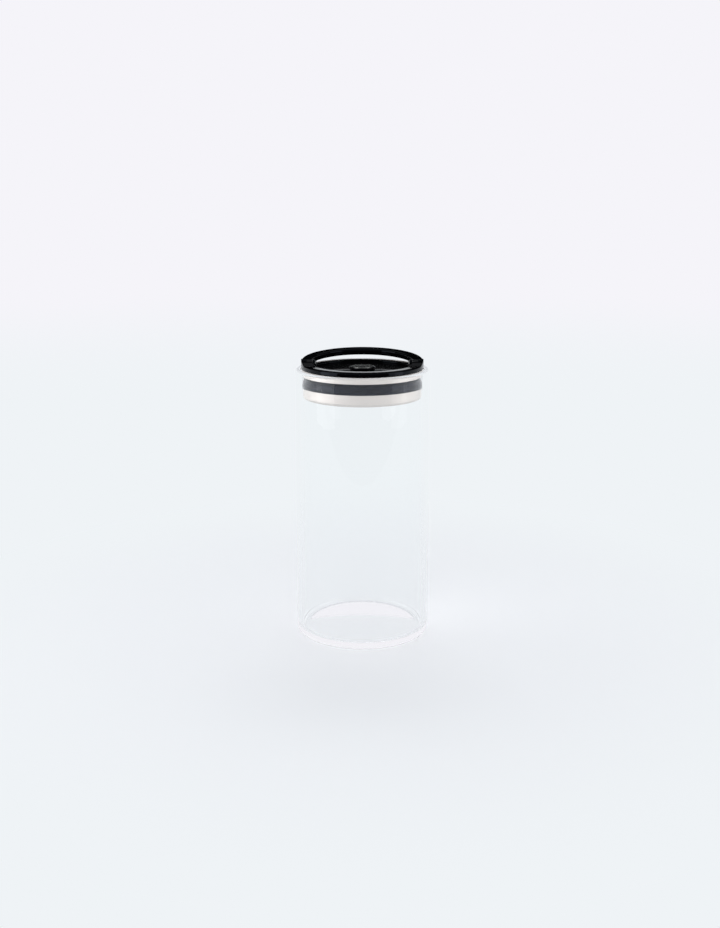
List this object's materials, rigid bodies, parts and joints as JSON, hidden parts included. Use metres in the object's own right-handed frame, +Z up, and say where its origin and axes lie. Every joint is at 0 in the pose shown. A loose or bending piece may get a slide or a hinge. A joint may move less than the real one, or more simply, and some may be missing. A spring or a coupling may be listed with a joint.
{
  "type": "vacuum seal canister",
  "caption": "Tall clear glass food canister with a plunger lid that seals in the bore: steel bands, silicone gasket, half-ring release handle and hidden check and release valves.",
  "frame": {"origin": "middle of the base, on the surface that the jar stands on", "axes": "+Z up along the jar, -Y towards the front collar, +X to the right along the handle's hinge"},
  "size_m": [0.112, 0.112, 0.2386],
  "materials": {
    "clear_glass": "polished, clear",
    "brushed_band": "brushed around the axis",
    "brushed_cap": "fine brushed",
    "plain_steel": "plain",
    "brass": "turned",
    "charcoal_silicone": "matt, soft",
    "grey_moulding": "moulded, satin",
    "black_gloss": "polished moulding"
  },
  "bodies": {
    "jar": {"glass_jar": "clear_glass"},
    "lid": {"upper_band": "brushed_band", "base_cup": "brushed_band", "seal_gasket": "charcoal_silicone", "lid_core": "grey_moulding", "cup_carrier": "grey_moulding", "tower_ring": "charcoal_silicone", "vent_guard": "grey_moulding", "top_cover": "black_gloss", "valve_cap": "brushed_cap", "hinge_pin_left": "plain_steel", "hinge_pin_right": "plain_steel", "valve_seat": "brass", "check_cage": "grey_moulding", "cover_screw_1": "plain_steel", "cover_screw_2": "plain_steel", "cover_screw_3": "plain_steel", "cover_screw_4": "plain_steel", "carrier_screw_1": "plain_steel", "carrier_screw_2": "plain_steel", "carrier_screw_3": "plain_steel", "carrier_screw_4": "plain_steel"},
    "bail": {"handle": "black_gloss", "hub_bush_left": "brass", "hub_bush_right": "brass"},
    "release": {"valve_yoke": "plain_steel", "valve_stem": "plain_steel", "stem_clip": "plain_steel", "poppet_seal": "charcoal_silicone", "poppet_plate": "plain_steel", "return_spring": "plain_steel"},
    "check": {"check_disc": "charcoal_silicone"}
  },
  "joints": [
    {"name": "lid_slide", "type": "slide", "parent": "jar", "child": "lid", "axis": [0, 0, 1], "range_m": [-0.195, 0.05]},
    {"name": "handle_hinge", "type": "hinge", "parent": "lid", "child": "bail", "pos_m": [0, 0, 0.2315], "axis": [1, 0, 0], "range_deg": [0, 86.2], "stiffness_Nm_per_rad": 0.0022, "springref_deg": -130.63},
    {"name": "release_slide", "type": "slide", "parent": "lid", "child": "release", "axis": [0, 0, -1], "range_m": [0, 0.0024], "deforming": ["return_spring"]},
    {"name": "check_slide", "type": "slide", "parent": "lid", "child": "check", "axis": [0, 0, 1], "range_m": [0, 0.0011]}
  ],
  "couplings": [
    {"joint": "release_slide", "follows": "handle_hinge", "m_per_rad": 0.0015952}
  ]
}
